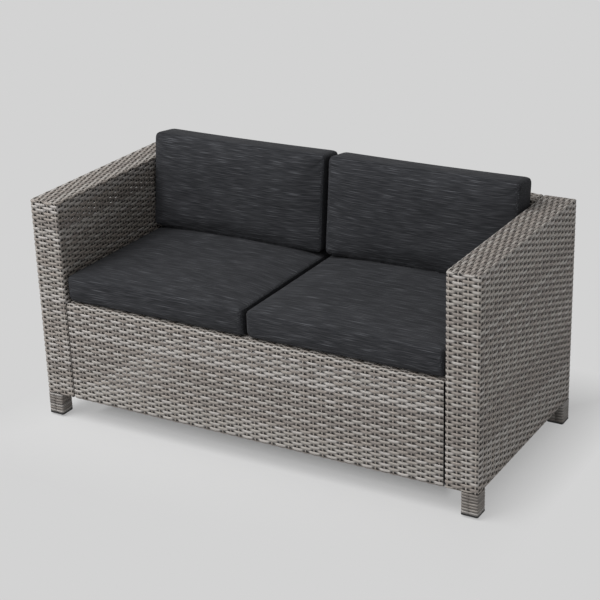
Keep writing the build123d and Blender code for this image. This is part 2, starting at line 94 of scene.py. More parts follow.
class LoveseatWeaveSettings(PropertyGroup):
    """Sizes of the flat strands and of the weave that they make."""

    stake_pitch: FloatProperty(name="Stake Pitch", description="Distance from one stake to the next",
                               default=25.2 * MM, unit="LENGTH", subtype="DISTANCE")
    strand_pitch: FloatProperty(name="Strand Pitch", description="Distance from one strand to the next",
                                default=7.8 * MM, unit="LENGTH", subtype="DISTANCE")
    strand_width: FloatProperty(name="Strand Width", description="Width of a strand that runs round a panel",
                                default=7.1 * MM, unit="LENGTH", subtype="DISTANCE")
    stake_width: FloatProperty(name="Stake Width", description="Width of a stake that the strands pass",
                               default=3.6 * MM, unit="LENGTH", subtype="DISTANCE")
    thickness: FloatProperty(name="Thickness", description="Thickness of a strand",
                             default=1.0 * MM, unit="LENGTH", subtype="DISTANCE")
    crown: FloatProperty(name="Crown", description="Rise of the middle of a strand over its edges",
                         default=0.45 * MM, unit="LENGTH", subtype="DISTANCE")
    wave: FloatProperty(name="Wave", description="How far a strand swings in and out about its middle",
                        default=1.35 * MM, unit="LENGTH", subtype="DISTANCE")
    proud: FloatProperty(name="Proud", description="How far the strands stand out from the panel's face",
                         default=0.4 * MM, unit="LENGTH", subtype="DISTANCE")
    edge_radius: FloatProperty(name="Edge Radius", description="Radius of a woven panel's edges",
                               default=6.0 * MM, unit="LENGTH", subtype="DISTANCE")


class LoveseatCushionSettings(PropertyGroup):
    """How full the cushions are and how their cloth is worked."""

    voxel: FloatProperty(name="Voxel", description="Mesh size of the cloth before it is puffed up",
                         default=6.0 * MM, unit="LENGTH", subtype="DISTANCE")
    pressure: FloatProperty(name="Pressure", description="Pressure that puffs the cloth up", default=4.0)
    steps: IntProperty(name="Steps", description="Frames that the cloth is simulated for", default=20)
    reach: FloatProperty(name="Reach", description="The furthest that a point of the cloth may move",
                         default=9.0 * MM, unit="LENGTH", subtype="DISTANCE")
    seam: FloatProperty(name="Seam", description="Thickness of the sewn ridge along a seam",
                        default=1.4 * MM, unit="LENGTH", subtype="DISTANCE")
    corner: FloatProperty(name="Corner", description="Radius of a cushion's corners, seen on its face",
                          default=14.0 * MM, unit="LENGTH", subtype="DISTANCE")


class LoveseatColourSettings(PropertyGroup):
    """The colours of the finishes."""

    strand_dark: FloatVectorProperty(name="Dark Strand", description="The darkest strands", subtype="COLOR",
                                     default=linear("#837c77"))
    strand_warm: FloatVectorProperty(name="Warm Strand", description="The brownish strands", subtype="COLOR",
                                     default=linear("#968e87"))
    strand_grey: FloatVectorProperty(name="Grey Strand", description="The greyish strands", subtype="COLOR",
                                     default=linear("#9f9a94"))
    strand_light: FloatVectorProperty(name="Light Strand", description="The lightest strands",
                                      subtype="COLOR", default=linear("#aea9a5"))
    cloth_dark: FloatVectorProperty(name="Dark Cloth", description="The ground of the cushion cloth",
                                    subtype="COLOR", default=linear("#1c1d20"))
    cloth_light: FloatVectorProperty(name="Light Cloth", description="The slubs of the cushion cloth",
                                     subtype="COLOR", default=linear("#545559"))
    coat: FloatVectorProperty(name="Powder Coat", description="The coat of the steel tubes",
                              subtype="COLOR", default=linear("#26272a"))
    plastic: FloatVectorProperty(name="Plastic", description="The caps and feet", subtype="COLOR",
                                 default=linear("#151516"))
    zinc: FloatVectorProperty(name="Zinc", description="The bolts and rivet nuts", subtype="COLOR",
                              default=linear("#b4b4b0"))
    tape: FloatVectorProperty(name="Zip Tape", description="The woven tape of the zips", subtype="COLOR",
                              default=linear("#26272b"))
    slider: FloatVectorProperty(name="Zip Slider", description="The painted sliders", subtype="COLOR",
                                default=linear("#1b1b1d"))


class LoveseatStageSettings(PropertyGroup):
    """The studio round the loveseat."""

    floor: FloatVectorProperty(name="Floor", description="The plain pale floor", subtype="COLOR",
                               default=linear("#d3d3d3"))
    key: FloatProperty(name="Key Light", description="Power of the large round key light", default=182.0,
                       unit="POWER")
    key_size: FloatProperty(name="Key Size", description="Width of the key light", default=3.6,
                            unit="LENGTH", subtype="DISTANCE")
    side: FloatProperty(name="Side Light", description="Power of the low light at the right", default=13.0,
                        unit="POWER")
    side_size: FloatProperty(name="Side Size", description="Width of the low light at the right", default=1.2,
                             unit="LENGTH", subtype="DISTANCE")
    fill: FloatProperty(name="Fill", description="Strength of the dome of light on its bright side",
                        default=0.84)
    shade: FloatProperty(name="Shade", description="Strength of the dome's far side, as a share of the fill",
                         default=0.05, subtype="FACTOR")
    # Painted shadow: the share of the floor's glow that is kept in the band close round the loveseat
    lift: FloatProperty(name="Lift", description="Share of the floor's colour that shadows leave",
                        default=0.55, subtype="FACTOR")


# Materials

SMOOTH = {"interpolation_type": "SMOOTHSTEP"}
WAVE_SCALE = 2 * math.pi / 20  # of a wave texture whose waves are 1 m long


def plug(tree, node, **inputs):
    """Set inputs of a node, each to a plain value, a socket or the first output of another node.

    An input goes by its name or, where several have one name, by its number after an i.
    """
    for name, value in inputs.items():
        numbered = name[0] == "i" and name[1:].isdigit()
        socket = node.inputs[int(name[1:]) if numbered else name.replace("_", " ")]
        if isinstance(value, bpy.types.Node):
            value = value.outputs[0]
        if isinstance(value, bpy.types.NodeSocket):
            tree.links.new(value, socket)
        else:
            socket.default_value = value


def add_node(tree, kind, settings=None, **inputs):
    """Add a node, and set its settings and its inputs."""
    node = tree.nodes.new(kind)
    for name, value in (settings or {}).items():
        setattr(node, name, value)
    plug(tree, node, **inputs)
    return node


def new_material(name, roughness, metallic=0.0, ior=1.5, colour=None):
    """A material with one surface shader, whose plain values are set on its own sockets."""
    material = bpy.data.materials.new(name)
    material.use_nodes = True
    tree = material.node_tree
    shader = tree.nodes["Principled BSDF"]
    plug(tree, shader, Roughness=roughness, Metallic=metallic, IOR=ior)
    if colour:
        plug(tree, shader, Base_Color=(*colour, 1))
        material.diffuse_color = (*colour, 1)
    return material, tree, shader


def ramp(tree, factor, stops):
    """A colour ramp through stops of a place and a linear colour."""
    node = add_node(tree, "ShaderNodeValToRGB", i0=factor)
    elements = node.color_ramp.elements
    while len(elements) < len(stops):
        elements.new(0.5)
    for element, (place, colour) in zip(elements, stops):
        element.position = place
        element.color = (*colour, 1)
    return node


def strand_material(colours):
    """Flat polyethylene strand, extruded and faintly ribbed along its length.

    Satin, in mixed warm greys that change from strand to strand and slowly along each one.
    """
    drift_length = 125 * MM
    rib_length, rib_width = 25 * MM, 1.667 * MM
    face_radius = 6 * MM
    # How far the drift and the ribs of the lightest strand are taken from those of the darkest one
    drift_step, rib_step = 97.0, 50.0

    material, tree, shader = new_material("extruded_polyethylene_strand", 0.5, ior=1.51)
    # Along the strand and across it in metres, and the tone of the whole strand from 0 to 1
    place = add_node(tree, "ShaderNodeAttribute", {"attribute_name": "strand_place"}).outputs["Vector"]
    along, across, own_tone = add_node(tree, "ShaderNodeSeparateXYZ", Vector=place).outputs
    dip = add_node(tree, "ShaderNodeAttribute", {"attribute_name": "strand_dip"}).outputs["Fac"]

    # The granulate varies slowly along a strand
    drift_place = add_node(tree, "ShaderNodeCombineXYZ", X=along, Y=own_tone)
    drift_place = add_node(tree, "ShaderNodeVectorMath", {"operation": "MULTIPLY"}, i0=drift_place,
                           i1=(1 / drift_length, drift_step, 1.0))
    drift = add_node(tree, "ShaderNodeTexNoise", {"noise_dimensions": "2D"}, Vector=drift_place, Scale=1.0,
                     Detail=2.0, Roughness=0.6)
    tone = add_node(tree, "ShaderNodeMath", {"operation": "MULTIPLY_ADD"}, i0=drift, i1=0.5, i2=-0.25)
    tone = add_node(tree, "ShaderNodeMath", {"operation": "ADD", "use_clamp": True}, i0=tone, i1=own_tone)
    colour = ramp(tree, tone, ((0.0, colours.strand_dark), (0.35, colours.strand_warm),
                               (0.65, colours.strand_grey), (1.0, colours.strand_light)))

    # Ribs across the strand, drawn out along it
    rib_place = add_node(tree, "ShaderNodeVectorMath", {"operation": "MULTIPLY"}, i0=place,
                         i1=(1 / rib_length, 1 / rib_width, rib_step))
    ribs = add_node(tree, "ShaderNodeTexNoise", Vector=rib_place, Scale=1.0, Detail=2.0)
    rib_shade, rough = [
        add_node(tree, "ShaderNodeMapRange", Value=ribs, From_Min=0.3, From_Max=0.7, To_Min=low, To_Max=high)
        for low, high in ((0.78, 1.14), (0.58, 0.44))]

    # Painted shade: less light gets down beside a stake than to the open face, and least of all to the lower
    # edge there, so the colour is darkened by how far the strand dips and by how low on it a point lies
    deep = add_node(tree, "ShaderNodeMapRange", SMOOTH, Value=dip, From_Min=0.4, From_Max=0.9, To_Min=0.0,
                    To_Max=0.95)
    lower = add_node(tree, "ShaderNodeMapRange", SMOOTH, Value=across, From_Min=-0.8 * MM, From_Max=2.6 * MM,
                     To_Min=1.0, To_Max=0.35)
    deep = add_node(tree, "ShaderNodeMath", {"operation": "MULTIPLY"}, i0=deep, i1=lower)
    dip_shade = add_node(tree, "ShaderNodeMath", {"operation": "SUBTRACT"}, i0=1.0, i1=deep)
    shade = add_node(tree, "ShaderNodeMath", {"operation": "MULTIPLY"}, i0=rib_shade, i1=dip_shade)
    colour = add_node(tree, "ShaderNodeVectorMath", {"operation": "SCALE"}, i0=colour, Scale=shade)

    # The face is rounded across its width, which the mesh is too plain for
    bump = add_node(tree, "ShaderNodeBump", Strength=0.35, Distance=0.2 * MM, Height=ribs)
    square = add_node(tree, "ShaderNodeMath", {"operation": "MULTIPLY"}, i0=across, i1=across)
    rounding = add_node(tree, "ShaderNodeMath", {"operation": "MULTIPLY"}, i0=square, i1=-0.5 / face_radius)
    bump = add_node(tree, "ShaderNodeBump", Strength=1.0, Distance=1.0, Height=rounding, Normal=bump)
    plug(tree, shader, Base_Color=colour, Roughness=rough, Normal=bump)
    return material


def cloth_material(colours):
    """Solution dyed polyester canvas, plain woven from slub yarn.

    Matt charcoal with fine lighter slubs that run across the loveseat, and a faint nap at a low angle.
    """
    yarn = 0.9 * MM
    slub_length, slub_height = 58.8 * MM, 1.613 * MM
    streak_length, streak_height = 38.46 * MM, 0.8333 * MM
    patch = 111 * MM

    material, tree, shader = new_material("slub_polyester_canvas", 0.88, ior=1.46)
    plug(tree, shader, Sheen_Weight=0.03, Sheen_Roughness=0.5, Specular_IOR_Level=0.2)
    # The places of the flat cloth, before it was filled, so that the slubs run straight across a cushion
    place = add_node(tree, "ShaderNodeAttribute", {"attribute_name": "cloth_place"}).outputs["Vector"]
    # Sparse slubs, over finer streaks where single yarns are thicker
    slubs, streaks = [
        add_node(tree, "ShaderNodeTexNoise", Scale=1.0, Detail=0.0, Vector=add_node(
            tree, "ShaderNodeMapping", Vector=place, Scale=(1 / along, 1 / high, 1 / high)))
        for along, high in ((slub_length, slub_height), (streak_length, streak_height))]
    # The two sets of yarns, each one wave's crest or dip
    warp, weft = [
        add_node(tree, "ShaderNodeTexWave", {"bands_direction": bands}, Vector=place,
                 Scale=WAVE_SCALE / (2 * yarn), Distortion=0.6, Detail=1.0).outputs["Fac"]
        for bands in ("X", "DIAGONAL")]
    yarns = add_node(tree, "ShaderNodeMath", {"operation": "ADD"}, i0=warp, i1=weft)
    # Broad patches, a hand wide, where the cloth has been sat on and rubbed
    patches = add_node(tree, "ShaderNodeTexNoise", Vector=place, Scale=1 / patch, Detail=2.0)
    mix = add_node(tree, "ShaderNodeMapRange", Value=streaks, From_Min=0.3, From_Max=0.8, To_Min=0.0,
                   To_Max=0.34)
    for part, low, high, least, most in ((slubs, 0.6, 0.88, 0.0, 0.9), (patches, 0.3, 0.7, -0.04, 0.04)):
        part = add_node(tree, "ShaderNodeMapRange", Value=part, From_Min=low, From_Max=high, To_Min=least,
                        To_Max=most)
        mix = add_node(tree, "ShaderNodeMath", {"operation": "ADD", "use_clamp": True}, i0=mix, i1=part)
    relief = add_node(tree, "ShaderNodeMath", {"operation": "MULTIPLY_ADD"}, i0=yarns, i1=0.3, i2=streaks)
    bump = add_node(tree, "ShaderNodeBump", Strength=0.4, Distance=0.3 * MM, Height=relief)
    plug(tree, shader, Normal=bump,
         Base_Color=ramp(tree, mix, ((0.0, colours.cloth_dark), (1.0, colours.cloth_light))))
    return material


def coated_material(colours):
    """Powder coat on steel tube: an even satin black with a fine orange peel."""
    peel_width = 1.43 * MM
    material, tree, shader = new_material("powder_coated_steel", 0.46, colour=tuple(colours.coat))
    place = add_node(tree, "ShaderNodeTexCoord").outputs["Object"]
    peel = add_node(tree, "ShaderNodeTexNoise", Vector=place, Scale=1 / peel_width, Detail=1.0)
    bump = add_node(tree, "ShaderNodeBump", Strength=0.25, Distance=0.1 * MM, Height=peel)
    rough = add_node(tree, "ShaderNodeMapRange", Value=peel, From_Min=0.3, From_Max=0.7, To_Min=0.42,
                     To_Max=0.52)
    plug(tree, shader, Roughness=rough, Normal=bump)
    return material


def moulded_material(colours):
    """Injection moulded polypropylene: dull black with a spark eroded grain of about half a millimetre."""
    grain_width = 0.556 * MM
    material, tree, shader = new_material("moulded_polypropylene", 0.6, ior=1.49,
                                          colour=tuple(colours.plastic))
    place = add_node(tree, "ShaderNodeTexCoord").outputs["Object"]
    grain = add_node(tree, "ShaderNodeTexNoise", Vector=place, Scale=1 / grain_width, Detail=2.0)
    bump = add_node(tree, "ShaderNodeBump", Strength=0.4, Distance=0.08 * MM, Height=grain)
    plug(tree, shader, Normal=bump)
    return material


def zinc_material(colours):
    """Bright zinc plate on steel: grey metal with a faint cloudy passivation."""
    cloud_width, dulled = 4.5 * MM, 0.82
    material, tree, shader = new_material("zinc_plated_steel", 0.34, metallic=1.0, colour=tuple(colours.zinc))
    place = add_node(tree, "ShaderNodeTexCoord").outputs["Object"]
    clouds = add_node(tree, "ShaderNodeTexNoise", Vector=place, Scale=1 / cloud_width, Detail=3.0)
    rough = add_node(tree, "ShaderNodeMapRange", Value=clouds, From_Min=0.3, From_Max=0.7, To_Min=0.26,
                     To_Max=0.44)
    dull = tuple(channel * dulled for channel in colours.zinc)
    plug(tree, shader, Roughness=rough, Base_Color=ramp(tree, clouds, ((0.35, colours.zinc), (0.7, dull))))
    return material


def tape_material(colours):
    """Woven polyester zip tape with a nylon coil: dull dark grey, ribbed across every 1.5 mm."""
    coil_pitch, lighter = 1.5 * MM, 1.8
    material, tree, shader = new_material("woven_zip_tape", 0.8, ior=1.46, colour=tuple(colours.tape))
    place = add_node(tree, "ShaderNodeTexCoord").outputs["Object"]
    coil = add_node(tree, "ShaderNodeTexWave", {"bands_direction": "X"}, Vector=place,
                    Scale=WAVE_SCALE / coil_pitch).outputs["Fac"]
    bump = add_node(tree, "ShaderNodeBump", Strength=0.7, Distance=0.4 * MM, Height=coil)
    light = tuple(channel * lighter for channel in colours.tape)
    plug(tree, shader, Normal=bump, Base_Color=ramp(tree, coil, ((0.2, colours.tape), (0.9, light))))
    return material


def slider_material(colours):
    """Painted zinc casting: smooth semi gloss black, slightly mottled."""
    mottle_width = 1.1 * MM
    material, tree, shader = new_material("painted_zinc_casting", 0.32, colour=tuple(colours.slider))
    place = add_node(tree, "ShaderNodeTexCoord").outputs["Object"]
    mottle = add_node(tree, "ShaderNodeTexNoise", Vector=place, Scale=1 / mottle_width, Detail=1.0)
    rough = add_node(tree, "ShaderNodeMapRange", Value=mottle, From_Min=0.3, From_Max=0.7, To_Min=0.26,
                     To_Max=0.4)
    plug(tree, shader, Roughness=rough)
    return material


FINISHES = {}


def finish(kind):
    """The material of one kind, made when it is first asked for."""
    makers = {
        "strand": strand_material, "cloth": cloth_material, "coated": coated_material,
        "moulded": moulded_material, "zinc": zinc_material, "tape": tape_material, "slider": slider_material,
    }
    if kind not in FINISHES:
        FINISHES[kind] = makers[kind](bpy.context.scene.loveseat_colours)
    return FINISHES[kind]


def dress(node, kind):
    """Give a CAD node that stays on view its finish."""
    slots = frame["nodes"][node].material_slots
    if not slots:
        frame["nodes"][node].data.materials.append(finish(kind))
    for item in slots:
        item.material = finish(kind)


# Weaving

STRAND_STEPS = 4  # stations of a strand from one stake to the next
DECK_STEPS = 2.6  # the same on the deck, which the cushions hide
STAKE_STEPS = 2  # stations of a stake from one strand to the next
CORNER_STATIONS = (-1.0, -0.42, 0.0, 0.42, 1.0)  # more stations round a corner, in radii of the edge
MOST_STATIONS = 16000  # in one piece, which keeps it under 200,000 triangles
STAKE_TONES = 0.5  # share of the strands' tones, from the darkest on, that the stakes have


def mesh_of(name, bm):
    """A mesh of what was modelled."""
    mesh = bpy.data.meshes.new(name)
    bm.to_mesh(mesh)
    bm.free()
    return mesh


def mesh_places(mesh):
    """The vertices of a mesh as rows."""
    flat = np.empty(len(mesh.vertices) * 3, np.float32)
    mesh.vertices.foreach_get("co", flat)
    return flat.reshape(-1, 3).astype(float)


def set_places(mesh, places):
    """Move the vertices of a mesh."""
    mesh.vertices.foreach_set("co", places.astype(np.float32).ravel())
    mesh.update()


def note_vectors(mesh, name, vectors):
    """Keep a vector for each vertex, for the materials to read."""
    notes = mesh.attributes.new(name, "FLOAT_VECTOR", "POINT")
    notes.data.foreach_set("vector", vectors.astype(np.float32).ravel())


def new_piece(name, mesh, kind, body):
    """Link a finished mesh as a piece of one body."""
    piece = bpy.data.objects.new(name, mesh)
    bpy.context.scene.collection.objects.link(piece)
    mesh.materials.append(finish(kind))
    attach(piece, body)
    return piece


def flat_strands(name, lengths, width, thickness, crown):
    """Strands laid flat side by side, one unit apart and one unit from cross line to cross line."""
    bm = bmesh.new()
    rows = 2 if crown > 0 else 1
    for index, count in enumerate(lengths):
        place = Matrix.Translation((count / 2, index, 0)) @ Matrix.Diagonal((count, width, 1, 1))
        bmesh.ops.create_grid(bm, x_segments=count, y_segments=rows, size=0.5, matrix=place)
    if crown > 0:
        middle = [vert for vert in bm.verts if abs(vert.co.y - round(vert.co.y)) < width / 4]
        bmesh.ops.translate(bm, vec=(0, 0, crown), verts=middle)
    under = bmesh.ops.extrude_face_region(bm, geom=bm.faces[:])["geom"]
    verts = [item for item in under if isinstance(item, bmesh.types.BMVert)]
    bmesh.ops.translate(bm, vec=(0, 0, -thickness), verts=verts)
    bmesh.ops.recalc_face_normals(bm, faces=bm.faces[:])
    for face in bm.faces:
        face.smooth = True
    # Only the long edges of the upper and the under face are sharp
    for edge in bm.edges:
        low, high = (vert.co for vert in edge.verts)
        beside = all(abs(abs(end.y - round(end.y)) - width / 2) < width / 8 for end in (low, high))
        edge.smooth = not (beside and abs(low.z - high.z) < thickness / 2 and abs(low.x - high.x) > 0.5)
    return mesh_of(name, bm)


def lay_strands(name, strands, width, thickness, crown):
    """Bend flat strands to their places and note each one's tone.

    A strand is its stations along a line, a function that turns stations, widths and heights into
    places and dips, and its tone.
    """
    mesh = flat_strands(name, [len(stations) - 1 for stations, _, _ in strands], width, thickness, crown)
    flat = mesh_places(mesh)
    owner = np.rint(flat[:, 1]).astype(int)
    across = flat[:, 1] - owner
    station = np.rint(flat[:, 0]).astype(int)
    places, marks = np.empty(flat.shape), np.empty(flat.shape)
    dips = np.empty(len(flat))
    for index, (stations, lay, tone) in enumerate(strands):
        mine = owner == index
        along = np.asarray(stations)[station[mine]]
        places[mine], dips[mine] = lay(along, across[mine], flat[mine, 2])
        marks[mine] = np.stack([along, across[mine], np.full_like(along, tone)], axis=1)
    note_vectors(mesh, "strand_place", marks)
    mesh.attributes.new("strand_dip", "FLOAT", "POINT").data.foreach_set("value", dips.astype(np.float32))
    set_places(mesh, places)
    return mesh


def stations_between(start, end, step, extras=()):
    """Places along a line: even steps, and extra places near the edges that the line turns over."""
    too_near = step * 0.4
    even = np.linspace(start, end, max(2, int(round((end - start) / step))) + 1)
    keep = [value for value in even if all(abs(value - extra) > too_near for extra in extras)]
    places = sorted(set(keep[1:-1] + list(extras)))
    return np.array([start] + [place for place in places if start < place < end] + [end])


def walk_marks(width, height):
    """The distances of walk at its start, at its four corners and at its end."""
    return np.array([0, width / 2, width / 2 + height, 1.5 * width + height, 1.5 * width + 2 * height,
                     2 * (width + height)])


def walk(distance, width, height):
    """Places and outward directions round a rectangle, from the middle of its low side, anticlockwise."""
    near = 1e-6
    marks = walk_marks(width, height)
    distance = np.mod(distance, marks[5])

    def between(first, last):
        return ((distance >= marks[first] - near) & (distance <= marks[last] + near)).astype(float)

    across = np.interp(distance, marks, np.array([0, 1, 1, -1, -1, 0]) * width / 2)
    up = np.interp(distance, marks, np.array([-1, -1, 1, 1, -1, -1]) * height / 2)
    return across, up, between(1, 2) - between(3, 4), between(2, 3) - between(0, 1) - between(4, 5)


def corner_places(width, height, radius):
    """The distances of walk at which more stations are wanted, round each corner."""
    return [corner + radius * share for corner in walk_marks(width, height)[1:5] for share in CORNER_STATIONS]


def round_edges(places, size, radius):
    """Turn the sharp edges and corners of a box's surface over a radius."""
    half = np.asarray(size) / 2 - radius
    core = np.clip(places, -half, half)
    rest = places - core
    longest = np.max(np.abs(rest), axis=1)
    length = np.linalg.norm(rest, axis=1)
    turning = length > 1e-9
    rest[turning] *= (longest[turning] / length[turning])[:, None]
    return core + rest


def swing(phase):
    """The in and out swing of a strand: flat where it lies over a stake and quick in between."""
    flatness = 0.7
    wave = np.cos(np.pi * phase)
    return np.sign(wave) * np.abs(wave) ** flatness


def woven(settle, phase, place, sign=1.0):
    """How a strand, or with a sign of -1 a stake, is laid from its stations, widths and heights.

    phase counts the stakes or strands that it has passed, place gives its places from the stations,
    the widths and how far out it is, and settle sets them in the frame.
    """
    weave = bpy.context.scene.loveseat_weave
    level = weave.proud - weave.wave

    def lay(along, across, lift):
        depth = sign * swing(phase(along))
        out = level + weave.wave * depth + lift
        # The second value is how far in the strand lies, from 0 at its outermost to 1, which the strand
        # material turns into painted shade
        return settle(*place(along, across, out)), (1 - depth) / 2
    return lay


def lay_weave(name, node, groups, mirrored=False):
    """Make the pieces of a panel's weave, turned the right way out again where the panel is mirrored."""
    weave = bpy.context.scene.loveseat_weave
    for kind, strands in groups:
        if not strands:
            continue
        width, crown = weave.strand_width, weave.crown
        if kind == "stakes":
            width, crown = weave.stake_width, 0.0
        mesh = lay_strands(name + "_" + kind, strands, width, weave.thickness, crown)
        if mirrored:
            bm = bmesh.new()
            bm.from_mesh(mesh)
            bmesh.ops.recalc_face_normals(bm, faces=bm.faces[:])
            bm.to_mesh(mesh)
            bm.free()
        piece = new_piece(name + "_" + kind, mesh, "strand", "base")
        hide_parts(node)


class PanelBox:
    """A panel's box: its middle, its sizes and the radius of its edges.

    Its own axes are across its thickness, along its length and up. turned says that its length runs
    across the loveseat.
    """

    def __init__(self, low, high, turned, radius):
        low, high = np.array(low), np.array(high)
        self.middle = (low + high) / 2
        size = high - low
        self.turned = turned
        self.size = np.array([size[1], size[0], size[2]]) if turned else size
        self.radius = radius

    def settle(self, across, along, up):
        """Round the edges of places in the box's own axes and set them in the frame."""
        places = round_edges(np.stack([across, along, up], axis=1), self.size, self.radius)
        if self.turned:
            places = np.stack([places[:, 1], -places[:, 0], places[:, 2]], axis=1)
        return places + self.middle


def weave_box(name, box, node, top_rows, leg_room=0.0):
    """Weave a closed panel: strands round its sides, stakes up and over it, strands along its top and foot.

    At both ends of its foot, the weave leaves room for the legs.
    """
    weave = bpy.context.scene.loveseat_weave
    dice = random.Random(name)
    thick, length, height = box.size
    rows = int(round(height / weave.strand_pitch))
    row_pitch = height / rows
    girth = 2 * (thick + length)
    stakes = 2 * int(round(girth / weave.stake_pitch / 2))
    pitch = girth / stakes
    radius = box.radius
    edge_room = radius * 0.6  # The stakes keep this far from an upright edge

    def around(row):
        level = -height / 2 + (row + 0.5) * row_pitch

        def place(along, across, out):
            side, run, out_side, out_run = walk(along, thick, length)
            return side + out_side * out, run + out_run * out, level + across
        return woven(box.settle, lambda along: along / pitch - 0.5 + row, place)

    # A stake's way over: its corners, and the rows that it has passed at each
    turns = walk_marks(thick, height)
    passed = np.array([-top_rows / 2, 0, rows, rows + top_rows, 2 * rows + top_rows,
                       2 * rows + 1.5 * top_rows]) - 0.5

    def over(stake, spot):
        def place(along, across, out):
            side, up, out_side, out_up = walk(along, thick, height)
            return side + out_side * out, spot - across, up + out_up * out
        return woven(box.settle, lambda along: np.interp(along, turns, passed) + stake, place, -1.0)

    def upright(stake, spot, end):
        def place(along, across, out):
            return spot + end * across, end * (length / 2 + out), along
        return woven(box.settle, lambda along: (along + height / 2) / row_pitch - 0.5 + stake, place, -1.0)

    def lengthwise(first, spot, face):
        def place(along, across, out):
            return spot - face * across, along, face * (height / 2 + out)
        return woven(box.settle, lambda along: (thick / 2 + along + length / 2) / pitch - 0.5 + first, place)

    strand_step, stake_step = pitch / STRAND_STEPS, row_pitch / STAKE_STEPS
    loop_stations = stations_between(0.0, girth, strand_step, corner_places(thick, length, radius))
    loops = [(loop_stations, around(row), dice.random()) for row in range(rows)]

    corners = corner_places(thick, height, radius)
    all_round = stations_between(turns[0], turns[5], stake_step, corners)
    but_foot = stations_between(turns[1], turns[4], stake_step, corners)
    one_end = stations_between(-height / 2, height / 2, stake_step, (height / 2 - radius,))
    crosses = []
    for stake in range(stakes):
        distance = (stake + 0.5) * pitch
        side, run, _, out_run = (value[0] for value in walk(np.array([distance]), thick, length))
        if thick / 2 <= distance <= thick / 2 + length:
            if abs(run) < length / 2 - edge_room:
                stations = but_foot if abs(run) > length / 2 - leg_room else all_round
                crosses.append((stations, over(stake, run), dice.random() * STAKE_TONES))
        elif out_run and abs(side) < thick / 2 - edge_room:
            crosses.append((one_end, upright(stake, side, out_run), dice.random() * STAKE_TONES))

    ends = [end * (length / 2 - inset) for end in (-1, 1) for inset in (radius, radius / 2)]
    full = stations_between(-length / 2, length / 2, strand_step, ends)
    between_legs = stations_between(-length / 2 + leg_room, length / 2 - leg_room, strand_step)
    top_pitch = thick / top_rows
    caps = []
    for row in range(top_rows):
        spot = thick / 2 - (row + 0.5) * top_pitch
        caps.append((full, lengthwise(rows + row, spot, 1.0), dice.random()))
        # The legs stand under an arm's outer half
        by_legs = leg_room and -spot * np.sign(box.middle[0]) > 0
        caps.append((between_legs if by_legs else full, lengthwise(row - top_rows / 2, -spot, -1.0),
                     dice.random()))

    half = (rows + 1) // 2 if len(loop_stations) * rows > MOST_STATIONS else rows
    lay_weave(name, node, (("strands", loops[:half]), ("upper_strands", loops[half:]), ("cap_strands", caps),
                           ("stakes", crosses)))


class LOVESEAT_OT_arms(Operator):
    """Weave the skins of both arms"""

    bl_idname = "loveseat.arms"
    bl_label = "Weave Arms"

    def execute(self, context):
        radius = context.scene.loveseat_weave.edge_radius
        for side in SIDES:
            box = PanelBox(*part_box(side + "_arm_weave"), False, radius)
            weave_box(side + "_arm", box, side + "_arm_weave", top_rows=12, leg_room=48 * MM)
        return {"FINISHED"}


class LOVESEAT_OT_back(Operator):
    """Weave the skin of the back"""

    bl_idname = "loveseat.back"
    bl_label = "Weave Back"

    def execute(self, context):
        box = PanelBox(*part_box("back_weave"), True, context.scene.loveseat_weave.edge_radius)
        weave_box("back", box, "back_weave", top_rows=8)
        return {"FINISHED"}


def weave_sheet(name, low, high, node):
    """Weave an open panel: the skirt's foot, front and top edge, or the deck's rear edge and top.

    Its stakes run from one open side to the other, and its strands across the loveseat.
    """
    weave = bpy.context.scene.loveseat_weave
    dice = random.Random(name)
    low, high = np.array(low), np.array(high)
    middle = (low + high) / 2
    size = high - low
    width, depth, height = size
    radius = weave.edge_radius
    end_gap = weave.thickness * 1.5
    hidden = 40 * MM
    stakes = int(round(width / weave.stake_pitch))
    pitch = width / stakes

    # The panel lies on a box that reaches on past its open sides, which so aren't rounded. What is woven is
    # a part of the way round that box's section.
    if name == "skirt":
        shift = np.array([0, hidden, 0]) / 2
        section = (2 * depth, height)
        start, end, strand_step = 0.0, 2 * depth + height, pitch / STRAND_STEPS
    else:
        shift = np.array([0, -hidden, -hidden]) / 2
        section = (depth, 2 * height)
        start, end, strand_step = depth / 2 + height, 1.5 * depth + 2 * height, pitch / DECK_STEPS
    rows = int(round((end - start) / weave.strand_pitch))
    row_pitch = (end - start) / rows

    def settle(x, y, z):
        places = np.stack([x, y, z], axis=1) - shift
        return round_edges(places, size + 2 * np.abs(shift), radius) + middle + shift

    def line(distance, out):
        """Places along the section that are so far out, seen from the side."""
        run, up, out_run, out_up = walk(distance, *section)
        run, up = run + out_run * out, up + out_up * out
        return (depth / 2 - run, up) if name == "skirt" else (run, up - height / 2)

    def strand(row):
        distance = start + (row + 0.5) * row_pitch

        def place(along, across, out):
            return (along - width / 2, *line(distance + across, out))
        return woven(settle, lambda along: along / pitch - 0.5 + row, place)

    def stake(index):
        spot = (index + 0.5) * pitch - width / 2
        hand = 1 if name == "skirt" else -1

        def place(along, across, out):
            return (spot + hand * across, *line(along, out))
        return woven(settle, lambda along: (along - start) / row_pitch - 0.5 + index, place, -1.0)

    run_stations = stations_between(end_gap, width - end_gap, strand_step, (radius / 2, width - radius / 2))
    strands = [(run_stations, strand(row), dice.random()) for row in range(rows)]
    stake_stations = stations_between(start, end, row_pitch / STAKE_STEPS, corner_places(*section, radius))
    uprights = [(stake_stations, stake(index), dice.random() * STAKE_TONES) for index in range(stakes)]
    lay_weave(name, node, (("strands", strands), ("stakes", uprights)), mirrored=True)


class LOVESEAT_OT_seat(Operator):
    """Weave the skirt and the seat deck"""

    bl_idname = "loveseat.seat"
    bl_label = "Weave Skirt and Deck"

    def execute(self, context):
        weave_sheet("skirt", *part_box("skirt_weave"), "skirt_weave")
        weave_sheet("deck", *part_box("deck_weave"), "deck_weave")
        return {"FINISHED"}


